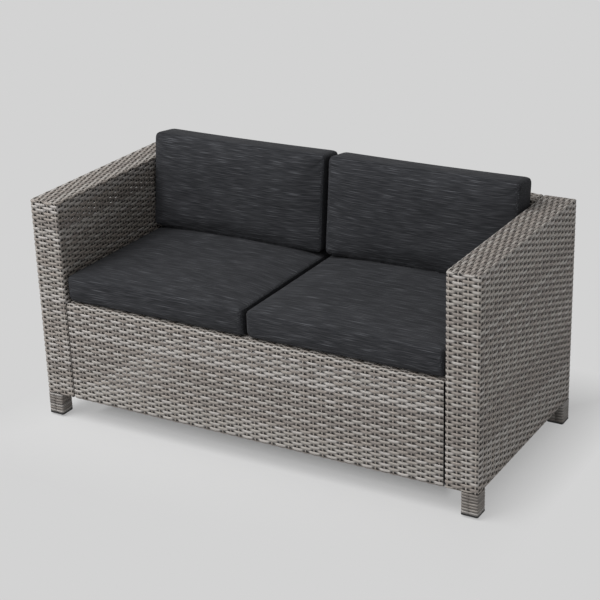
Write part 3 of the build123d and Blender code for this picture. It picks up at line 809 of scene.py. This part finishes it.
def wind_leg(name):
    """Wind a strand round a leg from its foot up, turn beside turn."""
    weave = bpy.context.scene.loveseat_weave
    low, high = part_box(name + "_leg_wrap")
    box = PanelBox(low, high, False, weave.thickness * 5)
    width, depth, height = box.size
    turns = int(round(height / weave.strand_pitch))
    pitch = height / turns
    dice = random.Random(name)
    girth = 2 * (width + depth)
    steps_round, cover = 16, 0.97
    # Painted shade: every turn notes this one dip, though a turn doesn't dip, and the strand material darkens
    # its colour by it, most along each turn's lower edge, for the shade in the grooves between the turns
    painted_groove_shade = 0.7  # The dip of a whole turn, which shades the grooves between the turns
    stations = stations_between(0.0, girth, girth / steps_round, corner_places(width, depth, box.radius))

    def turn(index):
        level = -height / 2 + (index + 0.5) * pitch

        def lay(along, across, lift):
            side, run, out_side, out_run = walk(along, width, depth)
            out = lift - weave.crown
            places = np.stack([side + out_side * out, run + out_run * out, 0 * across], axis=1)
            places = round_edges(places, (width, depth, 1.0), box.radius)
            places[:, 2] = level + across
            return places + box.middle, np.full_like(along, painted_groove_shade)
        return lay

    strands = [(stations, turn(index), dice.random()) for index in range(turns)]
    return lay_strands(name + "_leg_winding", strands, pitch * cover, weave.thickness * 2, weave.crown * 2)


class LOVESEAT_OT_legs(Operator):
    """Wind the strand round each leg and finish the caps and feet"""

    bl_idname = "loveseat.legs"
    bl_label = "Wind Legs"

    def execute(self, context):
        for end in ENDS:
            for side in SIDES:
                name = end + "_" + side
                mesh = wind_leg(name)
                piece = new_piece(name + "_leg_winding", mesh, "strand", "base")
                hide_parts(name + "_leg_wrap")
                dress(name + "_leg_cap", "moulded")
                dress(name + "_glide", "moulded")
        return {"FINISHED"}


class LOVESEAT_OT_frame(Operator):
    """Finish the steel frames, the brackets and the fasteners"""

    bl_idname = "loveseat.frame"
    bl_label = "Finish Frames"

    def execute(self, context):
        kinds = {"frame_steel": "coated", "fastener_steel": "zinc"}
        for part in frame["record"]["subparts"]:
            if part["material_slot"] in kinds:
                dress(part["node"], kinds[part["material_slot"]])
        return {"FINISHED"}


# Cushions

CLOTH_MARGIN = 2 * MM  # between the block that a cushion starts from and its filled sides
LEAN = math.radians(7.0)  # of the back cushions


def cushion_block(name, width, length, thickness, corner, rim):
    """A block for a cushion on its own axes: across, along from the zip side, and through it."""
    bm = bmesh.new()
    place = Matrix.Translation((0, length / 2, thickness / 2))
    place @= Matrix.Diagonal((width, length, thickness, 1))
    bmesh.ops.create_cube(bm, size=1.0, matrix=place)
    upright = [edge for edge in bm.edges if abs(edge.verts[0].co.z - edge.verts[1].co.z) > thickness / 2]
    bmesh.ops.bevel(bm, geom=upright, offset=corner, offset_type="OFFSET", segments=6, profile=0.5,
                    affect="EDGES", material=-1)
    rims = [edge for edge in bm.edges if abs(edge.verts[0].co.z - edge.verts[1].co.z) < 1e-6]
    bmesh.ops.bevel(bm, geom=rims, offset=rim, offset_type="OFFSET", segments=4, profile=0.5,
                    affect="EDGES", material=-1)
    return mesh_of(name, bm)


def applied(piece):
    """The mesh that a piece's modifiers make, put in their place."""
    context = bpy.context
    context.view_layer.update()
    result = bpy.data.meshes.new_from_object(piece.evaluated_get(context.evaluated_depsgraph_get()))
    piece.modifiers.clear()
    piece.data = result
    return result


def bulge(share):
    """A rise that is nothing at the edge and full over the middle, for shares from -1 to 1."""
    fullness = 3.2
    return np.sqrt(np.clip(1 - np.abs(share) ** fullness, 0, 1))


def eased(distance, over):
    """A share that grows from 0 to 1 over a distance."""
    return np.clip(distance / over, 0, 1)


def puff(piece, settings, held):
    """Puff the cloth up with pressure where it isn't held, and cap how far it moves."""
    start = mesh_places(piece.data)
    group = piece.vertex_groups.new(name="held")
    for index in np.nonzero(held)[0]:
        group.add([int(index)], 1.0, "REPLACE")
    cloth = piece.modifiers.new("cloth", "CLOTH")
    cloth.settings.quality = 5
    cloth.settings.mass = 0.3
    cloth.settings.tension_stiffness = 12
    cloth.settings.compression_stiffness = 12
    cloth.settings.bending_stiffness = 1.5
    cloth.settings.use_pressure = True
    cloth.settings.uniform_pressure_force = settings.pressure
    cloth.settings.effector_weights.gravity = 0
    cloth.settings.vertex_group_mass = "held"
    cloth.point_cache.frame_start = 1
    cloth.point_cache.frame_end = settings.steps
    for number in range(1, settings.steps + 1):
        bpy.context.scene.frame_set(number)
    mesh = applied(piece)
    bpy.context.scene.frame_set(1)
    moved = mesh_places(mesh) - start
    far = np.linalg.norm(moved, axis=1)
    shares = np.minimum(1.0, settings.reach / np.maximum(far, 1e-9))
    set_places(mesh, start + moved * shares[:, None])
    piece.vertex_groups.clear()


def seam_line(width, length, corner, depth, inset):
    """Places along a seam's rounded outline at one depth, on a cushion's own axes."""
    corner_steps, longest_step = 8, 8 * MM
    points = []
    for x, y, start in ((1, 0, -90), (1, 1, 0), (-1, 1, 90), (-1, 0, 180)):
        centre = Vector((x * (width / 2 - inset - corner), length - inset - corner if y else inset + corner))
        for step in range(corner_steps + 1):
            turn = math.radians(start + 90 * step / corner_steps)
            spot = centre + corner * Vector((math.cos(turn), math.sin(turn)))
            points.append(Vector((*spot, depth)))
    line = []
    for first, second in zip(points, points[1:] + points[:1]):
        count = max(1, int((second - first).length / longest_step))
        line += [first.lerp(second, step / count) for step in range(count)]
    return line


def sewn_ridge(bm, line, tree, size):
    """Sweep a small six sided ridge along a closed line laid on the cushion's surface."""
    sides, proud = 6, size * 0.1
    laid = [tree.find_nearest(point)[:2] for point in line]
    rings = []
    for index, (place, normal) in enumerate(laid):
        along = (laid[(index + 1) % len(laid)][0] - laid[index - 1][0]).normalized()
        side = normal.cross(along).normalized()
        out = along.cross(side)
        turn = Matrix((along, side, out)).transposed().to_4x4()
        turn.translation = place + out * proud
        ring = bmesh.ops.create_circle(bm, cap_ends=False, segments=sides, radius=size / 2,
                                       matrix=turn @ Matrix.Rotation(math.pi / 2, 4, "Y"))
        rings.append(ring["verts"])
    for first, second in zip(rings, rings[1:] + rings[:1]):
        for corner in range(sides):
            after = (corner + 1) % sides
            bm.faces.new((first[corner], first[after], second[after], second[corner]))
    bmesh.ops.recalc_face_normals(bm, faces=bm.faces[:])


def pucker(along, seed):
    """Small gathers along a seam, from about -1 to 1, that come every 20 to 50 mm."""
    lengths, bunching, highest = (21 * MM, 29 * MM, 38 * MM, 53 * MM), 0.7, 3
    dice = random.Random(seed)
    total = np.zeros_like(along)
    for length in lengths:
        total += np.sin(along / length * 2 * math.pi + dice.uniform(0, 2 * math.pi) + bunching * total)
    return total / highest


def fill_block(places, shares, kind, width, length, low_crown, high_crown):
    """Crown a block's faces, pull its sides in between the corners and gather its cloth along the seams."""
    side_pull, front_pull, sides_from = 0.005, 2.5 * MM, 0.85
    gather, gather_reach = 0.4 * MM, 24 * MM
    foot_gather, foot_reach = 1.1 * MM, 26 * MM
    faces_from, flat_rim = 0.9, 6 * MM
    pressure_share, crown_fade = 0.35, 3
    # The pressure adds the rest of a crown
    left_to_pressure = bpy.context.scene.loveseat_cushions.reach * pressure_share

    across, along, through = shares
    rise = bulge(across) * bulge(along)
    top, foot = (np.clip(face * (through - 0.5) * 2, 0, 1) ** crown_fade for face in (1, -1))
    places[:, 2] += (high_crown - left_to_pressure) * rise * top
    places[:, 2] -= max(0.0, low_crown - left_to_pressure) * rise * foot
    places[:, 0] *= 1 - side_pull * (1 - along ** 2) * (np.abs(across) > sides_from)
    places[:, 1] -= front_pull * (1 - across ** 2) * (along > sides_from)

    # Gathers run in from the seams over each face, and up from the foot of a back cushion
    edge = np.minimum(width / 2 - np.abs(places[:, 0]), np.minimum(places[:, 1], length - places[:, 1]))
    round_rim = np.where(np.abs(across) > np.abs(along), places[:, 1], places[:, 0])
    gathers = pucker(round_rim, kind) * np.exp(-np.clip(edge, 0, None) / gather_reach) * gather
    if kind == "back":
        gathers += pucker(places[:, 0], "foot") * np.exp(-places[:, 1] / foot_reach) * foot_gather
    faced = np.abs(through - 0.5) * 2 > faces_from
    places[:, 2] += np.where(faced, gathers * np.sign(through - 0.5), 0.0) * eased(edge, flat_rim)


def held_cloth(shares, kind):
    """Where the pressure doesn't move the cloth: its seams, its zip side and the foot of a seat cushion."""
    rim_from, seam_to, zip_side_from, foot_to = 0.965, 0.16, 0.97, 0.1
    across, along, through = shares
    rim = np.maximum(np.abs(across), np.abs(along)) > rim_from
    held = rim & (np.minimum(through, 1 - through) < seam_to)
    held |= along < -zip_side_from
    if kind == "seat":
        held |= through < foot_to
    return held


def shape_sides(places, kind, width, length, thickness, fall):
    """Let the far side fall, press the zip's channel in and draw in the front seam under a seat cushion."""
    channel_depth, channel_reach = 6.5 * MM, 14 * MM
    channel_half, channel_edge = 21 * MM, 7 * MM
    channel_end, channel_run_out = 30 * MM, 10 * MM
    drawn_in, drawn_up = 10 * MM, 3 * MM
    front_reach, foot_reach = 30 * MM, 26 * MM

    places[:, 1] -= np.clip(places[:, 2], 0, thickness) * fall * places[:, 1] / length
    at_zip = eased(channel_reach + CLOTH_MARGIN - places[:, 1], channel_reach)
    channel = eased(channel_half - np.abs(places[:, 2] - thickness / 2), channel_edge)
    ends = eased(width / 2 - channel_end - np.abs(places[:, 0]), channel_run_out)
    places[:, 1] += channel_depth * at_zip * channel * ends
    if kind == "seat":
        front = eased(front_reach - length + places[:, 1], front_reach) ** 0.5
        foot = eased(foot_reach - places[:, 2], foot_reach)
        places[:, 1] -= drawn_in * front * foot ** 1.4
        places[:, 2] += drawn_up * front * foot


def cushion_shape(kind, width, length, low_crown, high_crown, thickness, fall):
    """The cloth and the sewn seams of one kind of cushion, on its own axes: across, from the zip and through.

    Its far side falls by a share of the depth, where the cushion leans back.
    """
    settings = bpy.context.scene.loveseat_cushions
    margin, corner = CLOTH_MARGIN, settings.corner
    rim = (8 if kind == "seat" else 12) * MM
    seam_inset = 3 * MM
    mesh = cushion_block(kind + "_cushion", width - 2 * margin, length - 2 * margin, thickness, corner, rim)
    piece = bpy.data.objects.new(kind + "_cushion", mesh)
    bpy.context.scene.collection.objects.link(piece)
    remesh = piece.modifiers.new("remesh", "REMESH")
    remesh.mode = "VOXEL"
    remesh.voxel_size = settings.voxel
    mesh = applied(piece)
    places = mesh_places(mesh)
    places[:, 1] += margin
    # From -1 to 1 across and along the cushion, and from 0 to 1 through it
    shares = (places[:, 0] / (width / 2), (places[:, 1] - length / 2) / (length / 2),
              places[:, 2] / thickness)
    fill_block(places, shares, kind, width, length, low_crown, high_crown)
    set_places(mesh, places)
    puff(piece, settings, held_cloth(shares, kind))
    finer = piece.modifiers.new("finer", "SUBSURF")
    finer.levels = finer.render_levels = 1
    mesh = applied(piece)
    places = mesh_places(mesh)
    shape_sides(places, kind, width, length, thickness, fall)
    set_places(mesh, places)

    bm = bmesh.new()
    bm.from_mesh(mesh)
    tree = BVHTree.FromBMesh(bm)
    bm.free()
    seams = bmesh.new()
    for depth in (seam_inset, thickness - seam_inset):
        line = seam_line(width - 2 * margin, length, corner, depth, margin)
        sewn_ridge(seams, line, tree, settings.seam)
    seam_mesh = mesh_of(kind + "_cushion_seams", seams)
    bpy.data.objects.remove(piece)
    for item in (mesh, seam_mesh):
        for polygon in item.polygons:
            polygon.use_smooth = True
    return mesh, seam_mesh


def set_cushion(mesh, name, kind, other_hand, thickness, origin):
    """A copy of a cushion's mesh, of the left or the right hand, leant and set in its place.

    Each point also notes where it lay on the flat cloth, in the same frame.
    """
    mesh = mesh.copy()
    mesh.name = name
    places = mesh_places(mesh)
    if other_hand:
        places[:, 0] *= -1
    flat = places.copy()
    flat[:, 2] = np.clip(flat[:, 2], 0, thickness)
    note_vectors(mesh, "cloth_place", flat + np.array(origin))
    across, along, through = places.T
    if kind == "seat":
        laid = np.stack([-across, -along, through], axis=1)
    else:
        laid = np.stack([across, through + along * math.sin(LEAN), along * math.cos(LEAN)], axis=1)
    set_places(mesh, laid + np.array(origin))
    if (kind == "back") != other_hand:
        mesh.flip_normals()
    return mesh


class LOVESEAT_OT_cushions(Operator):
    """Make the seat cushions and the back cushions"""

    bl_idname = "loveseat.cushions"
    bl_label = "Make Cushions"

    def execute(self, context):
        # Filled, the cloth bellies out into the gaps beside the cushion
        belly = 7 * MM
        seat_crown, front_crown, rear_crown = 10 * MM, 12 * MM, 16 * MM
        back_thickness = 88 * MM
        # A back cushion is highest on its rim, this far behind the front face, and its crowned front is
        # furthest forward this far up
        behind_front, foremost = 8 * MM, 38 * MM
        for kind in ("seat", "back"):
            low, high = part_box("right_" + kind + "_cushion_cover")
            if kind == "seat":
                thickness = high.z - low.z - seat_crown
                sizes = (high.y - low.y, 0.0, seat_crown, thickness, 0.0)
                zip_side = high.y
            else:
                thickness = back_thickness
                length = (high.z - low.z) / math.cos(LEAN) + behind_front * math.sin(LEAN)
                sizes = (length, front_crown, rear_crown, thickness, math.sin(LEAN))
                zip_side = low.y - foremost * math.sin(LEAN) + front_crown
            shapes = cushion_shape(kind, high.x - low.x + belly, *sizes)
            for side in SIDES:
                name = side + "_" + kind + "_cushion"
                middle = (high.x + low.x) / 2 * (1 if side == "right" else -1)
                cloth, seams = [
                    set_cushion(mesh, name + end, kind, side == "left", thickness, (middle, zip_side, low.z))
                    for mesh, end in zip(shapes, ("", "_seams"))
                ]
                piece = new_piece(name, cloth, "cloth", name)
                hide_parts(name + "_cover", name + "_core")
                new_piece(name + "_seams", seams, "cloth", name)
        return {"FINISHED"}


class LOVESEAT_OT_zips(Operator):
    """Finish the zips and their sliders"""

    bl_idname = "loveseat.zips"
    bl_label = "Finish Zips"

    def execute(self, context):
        for side in SIDES:
            for kind in ("seat", "back"):
                dress(side + "_" + kind + "_cushion_zip", "tape")
                dress(side + "_" + kind + "_cushion_zip_slider", "slider")
        return {"FINISHED"}


# Stage


def seen_by_lens(tree):
    """One for rays from the lens, straight, mirrored or through glass, and none for light on the loveseat."""
    rays = add_node(tree, "ShaderNodeLightPath").outputs
    mirrored = add_node(tree, "ShaderNodeMath", {"operation": "ADD"}, i0=rays["Is Camera Ray"],
                        i1=rays["Is Glossy Ray"])
    return add_node(tree, "ShaderNodeMath", {"operation": "ADD", "use_clamp": True}, i0=mirrored,
                    i1=rays["Is Transmission Ray"])


def lay_floor(scene, stage):
    """Lay matt paper, whose shadow is a light one close round the loveseat: a painted shadow over the real
    one, as the paper's glow to the lens fades by distance from the loveseat's box.
    """
    half_width, grain_width = 30.0, 2.5 * MM
    # The painted shadow's ramp runs from inside the loveseat's box to some way outside it, in X and in Y
    inside, outside = 0.2, (0.45, 0.8)
    glow_stops = ((0.02, 0.0), (0.14, stage.lift), (0.24, stage.lift), (0.52, 1.0))

    bm = bmesh.new()
    bmesh.ops.create_grid(bm, x_segments=1, y_segments=1, size=half_width)
    mesh = mesh_of("studio_floor", bm)
    floor = bpy.data.objects.new("studio_floor", mesh)
    scene.collection.objects.link(floor)
    matt, tree, shader = new_material("matt_studio_paper", 0.95, colour=tuple(stage.floor))
    place = add_node(tree, "ShaderNodeTexCoord").outputs["Object"]
    grain = add_node(tree, "ShaderNodeTexNoise", Vector=place, Scale=1 / grain_width, Detail=1.0)
    bump = add_node(tree, "ShaderNodeBump", Strength=0.05, Distance=0.1 * MM, Height=grain)
    plug(tree, shader, Specular_IOR_Level=0.1, Normal=bump)
    # To the lens, the paper also glows: fully away from the loveseat, less close round it, not at all under
    # it. The glow is set by distance from the loveseat's box, not by light, so it paints where the shadow
    # shows: painted shadow over the real one
    glow = add_node(tree, "ShaderNodeEmission", Color=(*stage.floor, 1), Strength=1.0)
    place = add_node(tree, "ShaderNodeSeparateXYZ", Vector=place).outputs
    away = []
    for axis, half, end in zip(("X", "Y"), CAD_BOX[1][:2], outside):
        distance = add_node(tree, "ShaderNodeMath", {"operation": "ABSOLUTE"}, i0=place[axis])
        away.append(add_node(tree, "ShaderNodeMapRange", Value=distance, From_Min=half - inside,
                             From_Max=half + end))
    away = add_node(tree, "ShaderNodeMath", {"operation": "MAXIMUM"}, i0=away[0], i1=away[1])
    lift = ramp(tree, away, [(spot, (share,) * 3) for spot, share in glow_stops])
    seen = add_node(tree, "ShaderNodeMath", {"operation": "MULTIPLY"}, i0=seen_by_lens(tree), i1=lift)
    paper = add_node(tree, "ShaderNodeMixShader", i0=seen, i1=shader, i2=glow)
    plug(tree, tree.nodes["Material Output"], Surface=paper)
    mesh.materials.append(matt)


def hang_lamps(scene, stage):
    """Hang a large round lamp to the front and the left, and a weak low one to the right.

    The first is near enough that the left side is the lighter one. Only the right arm's outer side sees
    the second.
    """
    aim = Vector((0, 0, 0.4))
    for name, power, width, place in (("key_light", stage.key, stage.key_size, (-1.8, -1.9, 3.9)),
                                      ("side_light", stage.side, stage.side_size, (3.0, -0.9, 0.35))):
        lamp = bpy.data.lights.new(name, "AREA")
        lamp.shape = "DISK"
        lamp.energy = power
        lamp.size = width
        light = bpy.data.objects.new(name, lamp)
        light.location = place
        light.rotation_euler = (aim - light.location).to_track_quat("-Z", "Y").to_euler()
        scene.collection.objects.link(light)


def light_air(scene, stage):
    """Set a dome of light over the loveseat, brightest towards the front and the left."""
    brightest = Vector((-0.5, -0.85, 0.05)).normalized()
    world = bpy.data.worlds.new("studio_air")
    world.use_nodes = True
    air = world.node_tree
    dome = air.nodes["Background"]
    toward = add_node(air, "ShaderNodeTexCoord").outputs["Generated"]
    lit = add_node(air, "ShaderNodeVectorMath", {"operation": "DOT_PRODUCT"}, i0=toward,
                   i1=tuple(brightest)).outputs["Value"]
    glow = add_node(air, "ShaderNodeMapRange", SMOOTH, Value=lit, From_Min=-0.5, From_Max=0.9,
                    To_Min=stage.fill * stage.shade, To_Max=stage.fill)
    plug(air, dome, Color=(1, 1, 1, 1), Strength=glow)
    seen = add_node(air, "ShaderNodeBackground", Color=(*stage.floor, 1), Strength=1.0)
    mix = add_node(air, "ShaderNodeMixShader", i0=seen_by_lens(air), i1=dome, i2=seen)
    plug(air, air.nodes["World Output"], Surface=mix)
    scene.world = world


def set_camera(scene):
    """Set the camera where it was solved to be from the straight edges of the photograph."""
    turn, tilt, roll = math.radians(30.585), math.radians(22.222), math.radians(-1.822)
    place = (2.0017, -3.398, 1.9621)
    focal_pixels, photo_pixels, sensor = 1580.5, 600, 36.0
    ahead = Vector((-math.sin(turn) * math.cos(tilt), math.cos(turn) * math.cos(tilt), -math.sin(tilt)))
    level = Vector((math.cos(turn), math.sin(turn), 0))
    up = level.cross(ahead)
    right = level * math.cos(roll) + up * math.sin(roll)
    top = up * math.cos(roll) - level * math.sin(roll)
    lens = bpy.data.cameras.new("photo_camera")
    lens.sensor_width = sensor
    lens.lens = focal_pixels * sensor / photo_pixels
    lens.clip_end = 100.0
    camera = bpy.data.objects.new("photo_camera", lens)
    turned = Matrix((right, top, -ahead)).transposed().to_4x4()
    turned.translation = Vector(place)
    camera.matrix_world = turned
    scene.collection.objects.link(camera)
    scene.camera = camera


class LOVESEAT_OT_stage(Operator):
    """Set up the floor, the soft studio light and the camera"""

    bl_idname = "loveseat.stage"
    bl_label = "Set Up Stage"

    def execute(self, context):
        scene = context.scene
        scene.view_settings.view_transform = "Standard"
        lay_floor(scene, scene.loveseat_stage)
        hang_lamps(scene, scene.loveseat_stage)
        light_air(scene, scene.loveseat_stage)
        set_camera(scene)
        return {"FINISHED"}


SETTINGS = {
    "loveseat_weave": LoveseatWeaveSettings,
    "loveseat_cushions": LoveseatCushionSettings,
    "loveseat_colours": LoveseatColourSettings,
    "loveseat_stage": LoveseatStageSettings,
}

OPERATORS = (
    LOVESEAT_OT_stage,
    LOVESEAT_OT_arms,
    LOVESEAT_OT_back,
    LOVESEAT_OT_seat,
    LOVESEAT_OT_legs,
    LOVESEAT_OT_frame,
    LOVESEAT_OT_cushions,
    LOVESEAT_OT_zips,
)


class LOVESEAT_PT_panel(Panel):
    """The steps that make the loveseat, and their settings"""

    bl_idname = "LOVESEAT_PT_panel"
    bl_label = "Patio Loveseat"
    bl_space_type = "VIEW_3D"
    bl_region_type = "UI"
    bl_category = "Loveseat"

    def draw(self, context):
        for operator in OPERATORS:
            self.layout.operator(operator.bl_idname)
        for settings in SETTINGS:
            group = getattr(context.scene, settings)
            box = self.layout.box()
            for name in group.__annotations__:
                box.prop(group, name)


def register():
    for item in (*SETTINGS.values(), *OPERATORS, LOVESEAT_PT_panel):
        bpy.utils.register_class(item)
    for name, group in SETTINGS.items():
        setattr(bpy.types.Scene, name, PointerProperty(type=group))


def unregister():
    for name in SETTINGS:
        delattr(bpy.types.Scene, name)
    for item in reversed((*SETTINGS.values(), *OPERATORS, LOVESEAT_PT_panel)):
        bpy.utils.unregister_class(item)


def main():
    """Make the loveseat and its studio."""
    register()
    for operator in OPERATORS:
        getattr(bpy.ops.loveseat, operator.bl_idname.split(".")[1])()


if __name__ == "__main__":
    main()
